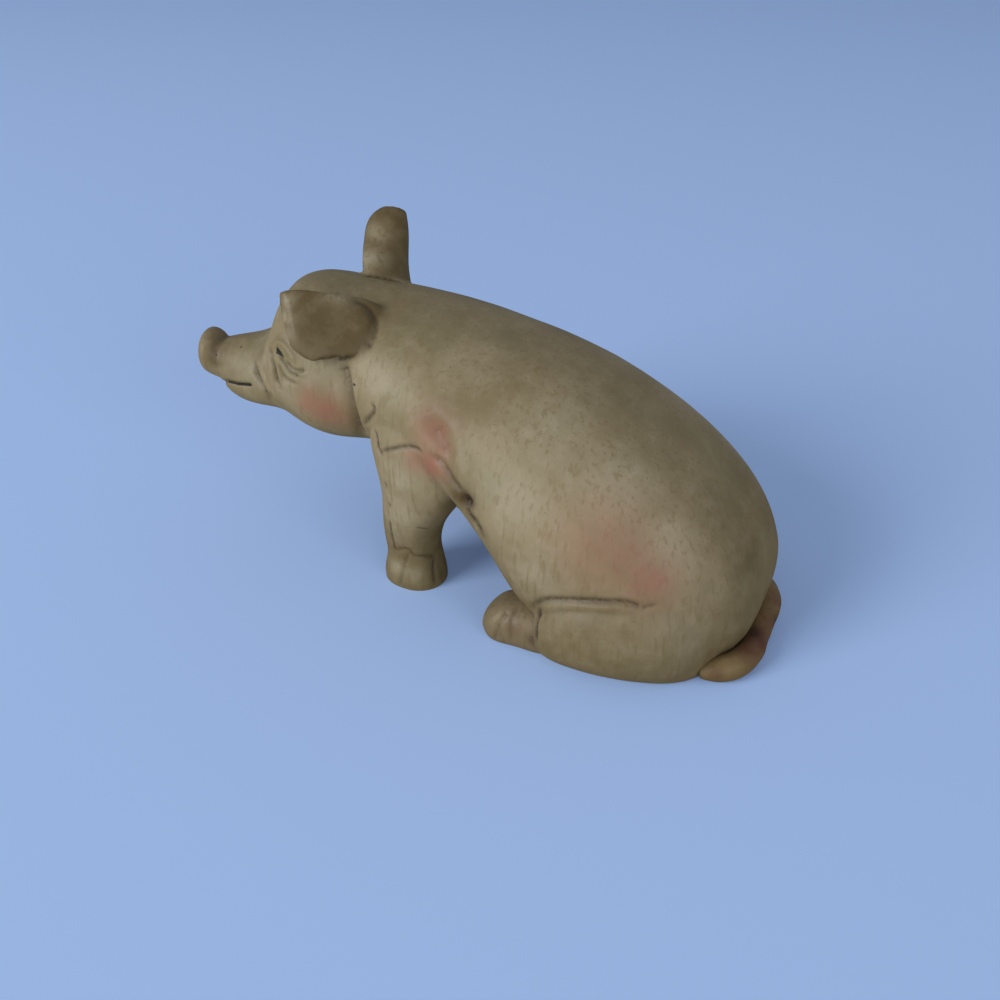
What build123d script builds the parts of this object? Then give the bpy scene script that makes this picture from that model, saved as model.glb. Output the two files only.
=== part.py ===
import math
import os

from build123d import *

# Sitting pig figurine in cast resin. Snout toward -Y, the pig's left is +X, +Z up.
# The floor is z = 0 and the middle of the figure's length is y = 0. Millimetres.

# body form
rump_reach = 64.1          # middle of the figure to the back of the rump
trunk_length = 95.5        # back of the rump to the nape
withers_height = 60.0      # floor to the top of the shoulders
trunk_half_width = 30.0    # at the haunches
head_length = 35.9         # nape to the nose disc
head_half_width = 18.0     # across the cheeks
head_turn = 15.0           # degrees toward the pig's left
head_turn_setback = 10.0   # upright line that the head turns about, behind the nape

# neck joint
neck_seam_setback = 14.5   # seam behind the nape
neck_spigot_radius = 9.0
neck_spigot_length = 9.0
neck_spigot_overlap = 4.0
neck_spigot_height_share = 0.70  # of the withers height

# hind shanks, part of the trunk
shank_inset = 2.9          # back of the shank in front of the back of the rump
shank_side = 20.0          # middle plane to the middle of the shank
shank_length = 37.6
shank_height = 21.5
shank_half_width = 12.3
shank_roundness = 2.3

# hind feet
foot_tuck = 5.0            # heel behind the front of the shank
foot_outset = 4.0          # middle of the foot outside the middle of the shank
foot_length = 17.6
foot_height = 9.2
foot_half_width = 5.7
foot_roundness = 2.4
foot_peg_radius = 2.6
foot_peg_length = 6.0
foot_peg_overlap = 4.0

# forelegs
foreleg_setback = 20.0     # middle of the leg behind the nape
foreleg_side = 16.0
foreleg_height = 47.0      # sole to the end inside the shoulder
foreleg_depth = 14.0       # hoof, front to back
foreleg_half_width = 8.0
foreleg_roundness = 2.2
foreleg_peg_radius = 3.6
foreleg_peg_length = 9.0
foreleg_peg_overlap = 5.0
foreleg_peg_height_share = 0.55  # of the leg's height
foreleg_peg_back_share = 0.20    # of the leg's depth, behind its middle

# ears
ear_root_setback = 8.5     # behind the nape
ear_root_side = 6.5
ear_root_height_share = 0.858  # of the withers height
ear_length = 22.0
ear_thickness = 3.2
ear_peg_radius = 1.1
ear_peg_length = 5.0
ear_peg_overlap = 2.5

# tail
tail_root_inset = 7.5      # in front of the back of the rump
tail_thickness = 6.4       # across the root
tail_reach = 22.0          # middle plane to the tail's tip
tail_rise = 8.5            # height of the root
tail_sweep = 8.0           # how far the curl swings back of the root
tail_peg_radius = 1.9
tail_peg_length = 7.0
tail_peg_overlap = 1.4

# joints and cuts
glue_clearance = 0.15      # around each peg in its socket
floor_overrun = 12.0       # depth of the block that trims the soles

# places along the figure
nape = rump_reach - trunk_length
neck_seam = nape + neck_seam_setback
head_pivot = nape + head_turn_setback
ear_root = nape + ear_root_setback
foreleg_middle = nape + foreleg_setback
shank_start = rump_reach - shank_inset - shank_length
foot_heel = shank_start + foot_tuck
foot_side = shank_side + foot_outset
tail_root = rump_reach - tail_root_inset
ear_root_height = ear_root_height_share * withers_height

# The middle plane of a section runs from its top point to its bottom point.
# Columns: top station, top height, bottom station, bottom height, half width,
# roundness, pear. Stations run forward from the rump.
trunk_section_shares = [
    (0.000, 0.217, 0.008, 0.123, 0.150, 2.0, 0.00),
    (0.012, 0.313, 0.026, 0.015, 0.430, 2.1, 0.02),
    (0.063, 0.450, 0.083, -0.050, 0.700, 2.2, 0.05),
    (0.173, 0.608, 0.162, -0.067, 0.900, 2.3, 0.08),
    (0.319, 0.755, 0.271, -0.067, 0.990, 2.3, 0.09),
    (0.487, 0.868, 0.384, -0.010, 0.983, 2.3, 0.10),
    (0.654, 0.933, 0.487, 0.140, 0.900, 2.2, 0.08),
    (0.801, 0.967, 0.610, 0.317, 0.800, 2.1, 0.04),
    (0.906, 0.980, 0.759, 0.395, 0.700, 2.1, 0.02),
]

# Same columns and the share of the head's turn; stations run forward from the nape.
head_section_shares = [
    (0.000, 1.007, -0.223, 0.443, 1.033, 2.1, 0.02, 0.58),
    (0.223, 1.020, 0.111, 0.453, 0.989, 2.2, 0.05, 1.00),
    (0.362, 0.997, 0.265, 0.490, 0.922, 2.2, 0.08, 1.00),
    (0.474, 0.905, 0.440, 0.525, 0.740, 2.2, 0.06, 1.00),
    (0.577, 0.803, 0.616, 0.520, 0.522, 2.2, 0.00, 1.00),
    (0.708, 0.777, 0.719, 0.520, 0.411, 2.2, 0.00, 1.00),
    (0.840, 0.760, 0.815, 0.550, 0.300, 2.2, 0.00, 1.00),
    (0.925, 0.780, 0.915, 0.605, 0.290, 2.2, 0.00, 1.00),
    (1.000, 0.770, 1.000, 0.630, 0.255, 2.1, 0.00, 1.00),
]

# Columns: station, top height, bottom height, half width, outward shift of the middle.
shank_section_shares = [
    (0.000, 0.42, 0.11, 0.285, 0.187),
    (0.048, 0.70, -0.05, 0.700, 0.146),
    (0.213, 0.91, -0.09, 0.960, 0.065),
    (0.505, 1.00, -0.09, 1.000, -0.033),
    (0.771, 0.91, -0.09, 0.810, -0.244),
    (0.920, 0.58, -0.05, 0.490, -0.590),
    (1.000, 0.37, 0.09, 0.244, -0.800),
]

# Columns: top station, top height, bottom station, bottom height, half width.
foot_section_shares = [
    (0.000, 0.935, 0.000, -0.11, 0.737),
    (0.227, 0.978, 0.227, -0.13, 0.912),
    (0.534, 1.000, 0.534, -0.13, 1.000),
    (0.830, 0.891, 0.864, -0.11, 0.965),
    (0.977, 0.587, 1.000, 0.11, 0.544),
]

# Columns: front reach, front height, back reach, back height, half width.
foreleg_section_shares = [
    (0.000, 1.000, -0.786, 1.000, 0.440),
    (0.386, 0.851, -1.186, 0.830, 0.925),
    (0.429, 0.723, -1.157, 0.660, 1.025),
    (0.307, 0.547, -0.843, 0.502, 0.975),
    (0.371, 0.262, -0.500, 0.262, 0.800),
    (0.386, 0.153, -0.457, 0.153, 0.750),
    (0.486, 0.021, -0.514, 0.021, 0.825),
    (0.471, 0.000, -0.500, 0.000, 0.775),
]

# Columns: centre (forward, outward, up), half width vector (forward, outward, up),
# camber, thickness. All but the thickness are shares of the ear's length.
left_ear_section_shares = [
    ((-0.177, 0.141, 0.150), (-0.091, 0.191, -0.155), 0.000, 1.38),
    ((-0.050, 0.236, 0.200), (-0.095, 0.209, -0.177), 0.000, 1.31),
    ((0.168, 0.450, 0.250), (-0.073, 0.177, -0.232), -0.014, 1.13),
    ((0.391, 0.609, 0.286), (-0.127, 0.132, -0.255), -0.009, 1.00),
    ((0.486, 0.641, 0.305), (-0.118, 0.105, -0.218), 0.000, 0.81),
]
right_ear_section_shares = [
    ((0.150, -0.045, 0.023), (-0.195, 0.155, -0.209), 0.059, 1.44),
    ((0.295, 0.114, 0.227), (-0.182, 0.141, -0.214), 0.075, 1.25),
    ((0.450, 0.352, 0.486), (-0.155, 0.109, -0.177), 0.070, 1.06),
    ((0.527, 0.539, 0.691), (-0.118, 0.086, -0.132), 0.045, 1.00),
    ((0.541, 0.609, 0.764), (-0.068, 0.041, -0.073), 0.018, 0.75),
]
ear_camber_direction = Vector(0, 0.80, 0.60)

# Columns: sweep back of the root, side, height, thickness, as shares of the
# tail's sweep, reach, rise and thickness.
tail_section_shares = [
    (0.000, -0.205, 1.000, 1.00),
    (0.563, -0.200, 0.976, 0.97),
    (0.863, -0.127, 0.847, 0.94),
    (0.900, 0.055, 0.612, 0.91),
    (0.913, 0.273, 0.412, 0.91),
    (0.875, 0.509, 0.329, 0.91),
    (0.675, 0.736, 0.318, 0.91),
    (0.400, 0.873, 0.306, 0.84),
    (0.175, 0.936, 0.294, 0.62),
]

tail_peg_section = 2        # the section that the peg leaves

ring_points = 24
blade_points = 11
blade_rim_share = 0.30


def rounded_ring(top, bottom, half_width, roundness, pear):
    """Closed section face between a top and a bottom point, wide across X."""
    middle = (top + bottom) / 2
    rise = (top - bottom) / 2
    points = []
    for index in range(ring_points):
        angle = 2 * math.pi * index / ring_points - math.pi / 2
        across = math.copysign(abs(math.cos(angle)) ** (2 / roundness), math.cos(angle))
        up = math.copysign(abs(math.sin(angle)) ** (2 / roundness), math.sin(angle))
        reach = half_width * across * (1 - pear * up)
        points.append(middle + rise * up + Vector(reach, 0, 0))
    return make_face(Spline(*points, periodic=True))


def body_station(section, start, length, half_width):
    """Section face of the trunk or the head."""
    top_station, top_height, bottom_station, bottom_height, width, roundness, pear = section
    top = Vector(0, start - top_station * length, top_height * withers_height)
    bottom = Vector(0, start - bottom_station * length, bottom_height * withers_height)
    return rounded_ring(top, bottom, width * half_width, roundness, pear)


def body_form():
    """Outer form from the rump to the nose disc, with the head turned."""
    turn_axis = Axis(Vector(0, head_pivot, 0), Vector(0, 0, 1))
    sections = []
    for section in trunk_section_shares:
        sections.append(body_station(section, rump_reach, trunk_length, trunk_half_width))
    for *section, turn_share in head_section_shares:
        station = body_station(section, nape, head_length, head_half_width)
        sections.append(station.rotate(turn_axis, turn_share * head_turn))
    return loft(sections)


def shank_form():
    """Left hind shank lying beside the belly."""
    sections = []
    for station, top_height, bottom_height, width, shift in shank_section_shares:
        side = shank_side + shift * shank_half_width
        back = shank_start + station * shank_length
        top = Vector(side, back, top_height * shank_height)
        bottom = Vector(side, back, bottom_height * shank_height)
        sections.append(rounded_ring(top, bottom, width * shank_half_width, shank_roundness, 0))
    return loft(sections)


def foot_form():
    """Left hind foot with its hoof."""
    sections = []
    for top_station, top_height, bottom_station, bottom_height, width in foot_section_shares:
        top = Vector(foot_side, foot_heel - top_station * foot_length, top_height * foot_height)
        bottom = Vector(foot_side, foot_heel - bottom_station * foot_length, bottom_height * foot_height)
        sections.append(rounded_ring(top, bottom, width * foot_half_width, foot_roundness, 0))
    return loft(sections)


def foreleg_form():
    """Left foreleg from the shoulder down to the sole."""
    sections = []
    for front, front_height, back, back_height, width in foreleg_section_shares:
        fore = Vector(foreleg_side, foreleg_middle - front * foreleg_depth, front_height * foreleg_height)
        rear = Vector(foreleg_side, foreleg_middle - back * foreleg_depth, back_height * foreleg_height)
        sections.append(rounded_ring(fore, rear, width * foreleg_half_width, foreleg_roundness, 0))
    return loft(sections)


def ear_vector(shares, side):
    """Forward, outward and up shares of the ear's length as a vector."""
    forward, outward, up = shares
    return Vector(side * outward * ear_length, -forward * ear_length, up * ear_length)


def blade_section(centre, half_width, camber, thickness):
    """Cambered blade section with a blunt rim."""
    normal = ear_camber_direction
    outer = []
    inner = []
    for index in range(blade_points):
        across = 2 * index / (blade_points - 1) - 1
        depth = blade_rim_share + (1 - blade_rim_share) * math.sqrt(1 - across * across)
        spine = centre + half_width * across + normal * camber * (1 - across * across)
        outer.append(spine + normal * thickness * depth / 2)
        inner.append(spine - normal * thickness * depth / 2)
    inner.reverse()
    return make_face(Spline(*(outer + inner), periodic=True))


def ear_form(section_shares, side):
    """Ear standing out from the top of the head."""
    root = Vector(side * ear_root_side, ear_root, ear_root_height)
    sections = []
    for centre, half_width, camber, thickness in section_shares:
        sections.append(
            blade_section(
                root + ear_vector(centre, side),
                ear_vector(half_width, side),
                camber * ear_length,
                thickness * ear_thickness,
            )
        )
    return loft(sections)


def tail_point(back, side, height):
    """Point on the tail's middle line from its shares."""
    return Vector(side * tail_reach, tail_root + back * tail_sweep, height * tail_rise)


def tail_form():
    """Tail that leaves the rump and curls round its left side on the floor."""
    points = []
    for back, side, height, _ in tail_section_shares:
        points.append(tail_point(back, side, height))
    path = Spline(*points)
    sections = []
    for point, section in zip(points, tail_section_shares):
        station = path.param_at_point(point)
        place = Plane(origin=point, z_dir=path.tangent_at(station))
        sections.append(place * Circle(section[3] * tail_thickness / 2))
    return loft(sections)


def floor_block():
    """Block under the floor that trims the soles flat."""
    return Box(
        2 * rump_reach,
        4 * rump_reach,
        floor_overrun,
        align=(Align.CENTER, Align.CENTER, Align.MAX),
    )


def front_block():
    """Block in front of the neck seam."""
    block = Box(
        2 * rump_reach,
        2 * rump_reach,
        4 * withers_height,
        align=(Align.CENTER, Align.MAX, Align.CENTER),
    )
    return Pos(0, neck_seam, 0) * block


def peg(place, direction, radius, length, overlap):
    """Peg that starts inside its own piece and runs on into the socket."""
    start = Plane(origin=place - direction * overlap, z_dir=direction)
    rod = Cylinder(radius, length + overlap, align=(Align.CENTER, Align.CENTER, Align.MIN))
    return start * rod


def peg_and_socket(place, direction, radius, length, overlap):
    """A peg with the roomier form that cuts its socket."""
    rod = peg(place, direction, radius, length, overlap)
    room = peg(place, direction, radius + glue_clearance, length + glue_clearance, overlap)
    return rod, room


def ear_peg(section_shares, side):
    """Peg and socket form along the axis of an ear."""
    root = Vector(side * ear_root_side, ear_root, ear_root_height)
    inner_section = section_shares[1]
    outer_section = section_shares[2]
    camber = ear_camber_direction * (outer_section[2] * ear_length)
    start = root + ear_vector(inner_section[0], side) + camber
    end = root + ear_vector(outer_section[0], side) + camber
    direction = (start - end).normalized()
    return peg_and_socket(
        (start + end) / 2, direction, ear_peg_radius, ear_peg_length, ear_peg_overlap
    )


def mirrored(piece):
    """The same piece on the pig's right."""
    return mirror(piece, Plane.YZ)


def largest(piece):
    """The main body of a cut piece, without slivers."""
    return Part() + max(piece.solids(), key=lambda solid: solid.volume)


floor = floor_block()
left_shank = shank_form()
body = body_form() + left_shank + mirrored(left_shank) - floor
front = front_block()

head = body & front
neck_place = Vector(0, neck_seam, neck_spigot_height_share * withers_height)
neck_spigot, neck_socket = peg_and_socket(
    neck_place, Vector(0, 1, 0), neck_spigot_radius, neck_spigot_length, neck_spigot_overlap
)
head = head + neck_spigot
trunk = body - front - neck_socket

left_leg = foreleg_form()
foreleg_peg_place = Vector(
    foreleg_side,
    foreleg_middle + foreleg_peg_back_share * foreleg_depth,
    foreleg_peg_height_share * foreleg_height,
)
foreleg_peg, foreleg_socket = peg_and_socket(
    foreleg_peg_place, Vector(0, 0, 1), foreleg_peg_radius, foreleg_peg_length, foreleg_peg_overlap
)
left_foreleg = largest(left_leg - body) + foreleg_peg
right_foreleg = largest(mirrored(left_leg) - body) + mirrored(foreleg_peg)
trunk = trunk - foreleg_socket - mirrored(foreleg_socket)

left_foot = foot_form() - floor
foot_peg_place = Vector(foot_side, shank_start, foot_height / 2)
foot_peg, foot_socket = peg_and_socket(
    foot_peg_place, Vector(0, 1, 0), foot_peg_radius, foot_peg_length, foot_peg_overlap
)
left_hind_foot = largest(left_foot - body) + foot_peg
right_hind_foot = largest(mirrored(left_foot) - body) + mirrored(foot_peg)
trunk = trunk - foot_socket - mirrored(foot_socket)

tail = largest(tail_form() - floor - body)
tail_peg_back, tail_peg_side, tail_peg_height, _ = tail_section_shares[tail_peg_section]
tail_peg_place = tail_point(tail_peg_back, tail_peg_side, tail_peg_height)
tail_peg, tail_socket = peg_and_socket(
    tail_peg_place, Vector(0, -1, 0), tail_peg_radius, tail_peg_length, tail_peg_overlap
)
tail = tail + tail_peg
trunk = trunk - tail_socket

left_ear_peg, left_ear_socket = ear_peg(left_ear_section_shares, 1)
right_ear_peg, right_ear_socket = ear_peg(right_ear_section_shares, -1)
left_ear = largest(ear_form(left_ear_section_shares, 1) - body) + left_ear_peg
right_ear = largest(ear_form(right_ear_section_shares, -1) - body) + right_ear_peg
head = head - left_ear_socket - right_ear_socket

pieces = {
    "trunk": trunk,
    "head": head,
    "left_ear": left_ear,
    "right_ear": right_ear,
    "left_foreleg": left_foreleg,
    "right_foreleg": right_foreleg,
    "left_hind_foot": left_hind_foot,
    "right_hind_foot": right_hind_foot,
    "tail": tail,
}
os.makedirs("parts", exist_ok=True)
for name, piece in pieces.items():
    export_step(piece, f"parts/{name}.step")
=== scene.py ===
import math

import bpy
import numpy as np
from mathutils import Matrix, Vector, noise
from mathutils.bvhtree import BVHTree


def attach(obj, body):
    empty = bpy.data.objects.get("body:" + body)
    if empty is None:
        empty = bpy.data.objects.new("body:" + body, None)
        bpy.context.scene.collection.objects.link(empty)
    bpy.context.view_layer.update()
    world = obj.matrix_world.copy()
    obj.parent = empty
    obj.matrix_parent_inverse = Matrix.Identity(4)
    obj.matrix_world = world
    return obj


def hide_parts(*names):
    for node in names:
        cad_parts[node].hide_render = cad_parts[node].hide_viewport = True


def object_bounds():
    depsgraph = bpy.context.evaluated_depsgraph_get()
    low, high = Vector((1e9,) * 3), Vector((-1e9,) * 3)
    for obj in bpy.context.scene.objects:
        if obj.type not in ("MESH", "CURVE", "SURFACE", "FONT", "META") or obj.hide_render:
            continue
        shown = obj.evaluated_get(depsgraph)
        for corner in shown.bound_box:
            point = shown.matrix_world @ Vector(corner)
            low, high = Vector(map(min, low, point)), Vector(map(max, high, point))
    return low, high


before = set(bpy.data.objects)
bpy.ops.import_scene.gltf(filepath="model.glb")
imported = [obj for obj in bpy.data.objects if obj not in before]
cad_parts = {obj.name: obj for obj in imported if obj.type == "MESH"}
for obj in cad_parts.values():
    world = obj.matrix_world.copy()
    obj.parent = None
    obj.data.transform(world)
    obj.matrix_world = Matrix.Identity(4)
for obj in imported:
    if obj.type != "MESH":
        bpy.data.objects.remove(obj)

bl_info = {
    "name": "Sitting pig figurine",
    "version": (1, 0, 0),
    "blender": (4, 5, 0),
    "location": "View3D > Sidebar > Pig",
    "description": "Models and paints the castings of a sitting pig figurine",
    "category": "Add Mesh",
}

CAD_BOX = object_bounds()
MM = 0.001
SIDES = (1, -1)
OTHER_SIDE = np.array([-1.0, 1.0, 1.0])
# Paint layers; the crease and wash layers also hold painted shade, and the layer of wear also holds painted
# light.
LAYERS = ("crease", "blush", "wash", "worn")

# Camera of the photograph, in millimetres and degrees, and its picture in pixels.
CAMERA_PLACE_MM = (166.9, 85.7, 140.0)
CAMERA_TURN = 116.5
CAMERA_DIP = 34.0
PICTURE_SIDE_PX = 1000
SENSOR_MM = 36.0
LENS_MM = 36.0

# Steps along a traced line, and how near and far from the camera the pig lies.
TRACE_STEP_PX = 1.5
TRACE_LEAST_STEPS = 4
TRACE_REACH_MM = (150, 330)

# Forms in millimetres. The snout points toward -Y, the pig's left is +X, the floor is z = 0.
# Body: top y, top z, bottom y, bottom z, half width, roundness, pear.
BODY_SECTIONS = [
    (63.9, 13, 63.2, 7.4, 4.5, 2, 0),
    (62.9, 18.8, 61.5, 0.9, 12.9, 2.1, 0.02),
    (58, 27, 56.1, -3, 21, 2.2, 0.05),
    (47.5, 36.5, 48.5, -4, 27, 2.3, 0.08),
    (33.5, 45.3, 38.1, -4, 29.7, 2.3, 0.09),
    (17.5, 52.4, 23.7, -1, 29.5, 2.3, 0.10),
    (1.5, 56.4, 16.2, 7.8, 27, 2.2, 0.08),
    (-12.5, 58.5, 5.7, 19, 24, 2.1, 0.04),
    (-22.5, 59.2, -8.5, 23.7, 21, 2.1, 0.02),
    (-31.5, 60.4, -23.5, 26.6, 18.6, 2.1, 0.02),
    (-39.5, 61.5, -35.5, 27.2, 17.8, 2.2, 0.05),
    (-44.3, 59.5, -41, 29.4, 16, 2.2, 0.08),
    (-46.9, 54.9, -45.2, 31.4, 14, 2.2, 0.06),
    (-49, 50.4, -49.4, 31.6, 11.8, 2.2, 0.04),
    (-52.2, 47.6, -53.6, 31.2, 9.4, 2.2, 0),
    (-56.9, 46.2, -57.3, 31.2, 7.4, 2.2, 0),
    (-59.9, 45.6, -59.7, 31.9, 6.2, 2.2, 0),
    (-62.1, 45.3, -61.5, 33.4, 5.4, 2.2, 0),
    (-63.3, 45.9, -62.5, 35.4, 5.1, 2.2, 0),
    (-64.5, 46.6, -64.1, 36.2, 5.2, 2.2, 0),
    (-65.8, 47, -65.7, 36.8, 5.2, 2.2, 0),
    (-66.9, 46.5, -66.9, 37.5, 4.7, 2.1, 0),
    (-67.4, 45.1, -67.4, 38.9, 3.3, 2.1, 0),
]

# The head turns to the pig's left about an upright line through this y.
HEAD_TURN = 15.0
HEAD_PIVOT = -21.5
HEAD_TURN_STARTS = -17.5
HEAD_TURN_ENDS = -35.5

# Hind shank: y, top z, bottom z, half width, side of its middle.
SHANK_SECTIONS = [
    (23.5, 9, 2.4, 3.5, 22.3),
    (25.3, 15, -1, 8.6, 21.8),
    (31.5, 19.6, -2, 11.8, 20.8),
    (42.5, 21.6, -2, 12.3, 19.6),
    (52.5, 19.6, -2, 10, 17),
    (58.1, 12.5, -1, 6, 12.8),
    (61.1, 8, 2, 3, 10.2),
]

# Foreleg: front y, front z, back y, back z, half width.
FORELEG_SIDE = 16.0
FORELEG_SECTIONS = [
    (-11.8, 47, -0.5, 47, 3.5),
    (-17.7, 40, 5.1, 39, 7.4),
    (-18.5, 34, 4.8, 31, 8.2),
    (-16.8, 25.7, 1.6, 23.6, 7.8),
    (-16.7, 12.3, -4.5, 12.3, 6.4),
    (-16.5, 7.2, -4.6, 7.2, 6),
    (-17.6, 1, -3.4, 1, 6.1),
    (-17.2, -2, -3.7, -2, 5.7),
]

# Hind foot: top y, top z, bottom y, bottom z, half width.
FOOT_SIDE = 24.0
FOOT_SECTIONS = [
    (28.5, 8.6, 28.5, -1, 4.2),
    (24.5, 9, 24.5, -1.2, 5.2),
    (19.3, 9.1, 19.3, -1.2, 5.5),
    (14.5, 8.2, 13.9, -1, 5.2),
    (12, 5.4, 11.6, 1, 3),
]

# Ears: middle (x, y, z), half width vector, camber, thickness.
LEFT_EAR_SECTIONS = [
    ((9.6, -19.1, 54.8), (3.4, 1.6, -2.8), 0, 4.4),
    ((11.7, -21.9, 55.9), (4.3, 2, -3.8), 0, 4.2),
    ((16.4, -26.7, 57), (3.9, 1.6, -5.1), -0.3, 3.6),
    ((19.9, -32.3, 58), (2.9, 2.8, -5.6), -0.2, 3.2),
    ((20.6, -34.6, 58.5), (2.3, 2.6, -4.8), 0, 2.8),
]
RIGHT_EAR_SECTIONS = [
    ((-6, -25.3, 51.6), (-4, 5.2, -5.4), 1.30, 4.6),
    ((-9.1, -29.3, 56.3), (-3.2, 4.2, -4.9), 1.65, 4),
    ((-14.2, -32.8, 62.2), (-2.5, 3.8, -3.1), 1.50, 3.4),
    ((-18.3, -33.9, 67.2), (-2, 3.1, -1.9), 1, 3.2),
    ((-20, -33.9, 69), (-1.4, 2.2, -0.8), 0.40, 2.4),
]
EAR_CAMBER_WAY = (0.0, 0.8, 0.6)
EAR_RIM_BLUNTNESS = 0.3

# Tail: middle (x, y, z), radius.
TAIL_SECTIONS = [
    ((-4.5, 56.5, 7.6), 3.2),
    ((-4.4, 61, 7.4), 3.1),
    ((-2.6, 63.4, 6), 3),
    ((1.2, 63.9, 4.5), 2.8),
    ((6, 64, 3.2), 2.6),
    ((11.2, 63.9, 2.7), 2.7),
    ((15.8, 62.3, 2.6), 2.8),
    ((18.8, 59.4, 2.5), 2.5),
    ((20.8, 56.4, 2.2), 1.3),
]

# Rings along each form and points around them, the least step in mm between two sections, and
# the roundness of the limbs.
BODY_RINGS = (240, 200)
SHANK_RINGS = (60, 100)
FORELEG_RINGS = (70, 100)
FOOT_RINGS = (90, 100)
EAR_RINGS = (40, 60)
TAIL_RINGS = (160, 80)
LEAST_STEP = 0.2
SHANK_ROUNDNESS = 2.3
FORELEG_ROUNDNESS = 2.2
FOOT_ROUNDNESS = 2.4

# Smoothing of the skin, and of the valleys where forms meet: steps, and how soon a hollow counts.
PIG_SMOOTHING = 12
SMALL_SMOOTHING = 8
JOIN_ROUNDS = 6
JOIN_STEPS = 4
JOIN_SHARPNESS = 60
LAST_SMOOTHING = 0.5

# Unevenness of the skin: size and amount in millimetres.
KNEADING = ((12.0, 0.18), (4.5, 0.05))
TAIL_KNEADING = (3.0, 0.15)

# Where the castings part, in millimetres: the y of the neck seam, and the seam over a foreleg.
# A leg's casting reaches a share past the leg's own form, at this many millimetres a share.
NECK_SEAM = -17.0
LEG_SEAM_Y = (-17.0, -8.9, -3.6, 2.0)
LEG_SEAM_Z = (30.5, 36.1, 38.1, 38.5)
LEG_ROOM = 1.12
LEG_SCALE = 8.0
# An ear's casting starts off the body and takes the skin near the ear's own form; its brown
# wash starts a little lower. How far to look round the ear, and from a point to each form.
EAR_SEAM = 0.8
EAR_SKIN = 1.5
EAR_TONE_START = 0.2
EAR_ROOM = 3.0
EAR_SEARCH = 5.0
BODY_SEARCH = 30.0
# No point lies nearer to a cut than this.
LEAST_FIELD = 1e-4

# Room kept inside the box of the solids, in millimetres.
BOX_MARGIN = 0.03

# Brown wash, partly painted shade on upward skin and low down near the floor: its share on upward skin,
# from one upward part of the normal to the other, its share low down, and how high the low one reaches in mm.
TOP_SHADE_AND_WASH = 0.35
TOP_SHADE_AND_WASH_SLOPE = (0.5, 0.95)
LOW_SHADE_AND_WASH = 0.5
LOW_SHADE_AND_WASH_TOP = 30.0

# Worked lines: reach and fading in half widths, what is left of depth and wash at their ends,
# the width of the wash, and how soon dark wash settles in a hollow.
LINE_REACH = 3
LINE_FADE = 1.5
END_DEPTH = 0.25
END_WASH = 0.4
WASH_WIDTH = 0.9
CREASE_SHARPNESS = 25

# The floor, with the light added to it for the camera alone.
FLOOR_HALF_M = 3.0
FLOOR_LIFT = (0.03, 0.05, 0.11, 1)
FLOOR_ROUGHNESS = 0.9

# The studio: sky, and each lamp's direction, power in watts and side in metres.
SKY_COLOUR = (0.92, 0.96, 1.0, 1)
SKY_STRENGTH = 0.30
LAMPS = {
    "key": ((0.79, -0.52, 0.44), 26.0, 1.0),
    "fill": ((0.55, 0.82, 0.27), 12.0, 1.3),
}

# Paint noise: scale per metre, detail, roughness.
PAINT_NOISE = {
    "patches": (55, 3, 0.5),
    "moss": (70, 3, 0.5),
    "gates": (160, 1, 0.5),
    "mottle": (300, 5, 0.6),
    "streaks": (1000, 2, 0.5),
    "fine": (1300, 3, 0.6),
    "specks": (1900, 1, 0.5),
}
# Paint masks: their noise, where they begin and end in it, and their strength.
PAINT_MASKS = {
    "shaded": ("patches", 0.42, 0.68, 0.75),
    "mossy": ("moss", 0.46, 0.64, 0.5),
    "faded": ("mottle", 0.50, 0.74, 0.35),
    "dimmed": ("mottle", 0.48, 0.30, 0.25),
    "brushed": ("streaks", 0.52, 0.68, 1.0),
    "blush": ("mottle", 0.35, 0.65, 0.25),
    "wash": ("mottle", 0.6, 0.35, 0.25),
    "crease": ("fine", 0.35, 0.6, 0.4),
    "gate": ("gates", 0.50, 0.62, 1.0),
    "specks": ("specks", 0.70, 0.76, 1.0),
    "rough": ("mottle", 0.3, 0.7, 0.2),
}
MOSS_OFFSET = (0.3, 0.1, 0.2)
STREAK_STRETCH = (1.0, 1.0, 0.14)
SPECKS = 0.35
STREAKS = 0.5
EAR_STREAKS = 0.7
# Share of a painted layer that every point gets before its mask adds to it.
LAYER_BASE = {"blush": 0.7, "wash": 0.85, "crease": 0.6}
# How much the layer of wear and painted light turns the paint to chalk and takes off the brown wash and
# painted shade.
WORN_AND_LIT_FADE = 0.7
WORN_AND_LIT_OVER_WASH = 0.75
STREAKS_IN_BLUSH = 0.3
LEAST_ROUGHNESS = 0.44
RELIEF = (("mottle", 0.6), ("streaks", 0.35), ("fine", 0.18))
SPECK_PIT = 0.3
BUMP_STRENGTH = 0.55
BUMP_DISTANCE_M = 0.0002
PAINT_SHEEN = 0.35
# On the hind feet and the tail these paints are shares of the piece's own colour.
TINTS = (("Shade", 0.68), ("Moss", 0.9), ("Chalk", 1.3))
STROKE_NOISE = (2500, 2, 0.5)
STROKE_SOFTNESS_M = 0.0001

# Nostrils on the nose disc, in millimetres.
NOSTRIL_SIDE = 2.0
NOSTRIL_HEIGHT = 42.6
NOSTRIL_RADIUS = 1.0
NOSTRIL_DEPTH = 1.2

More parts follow.
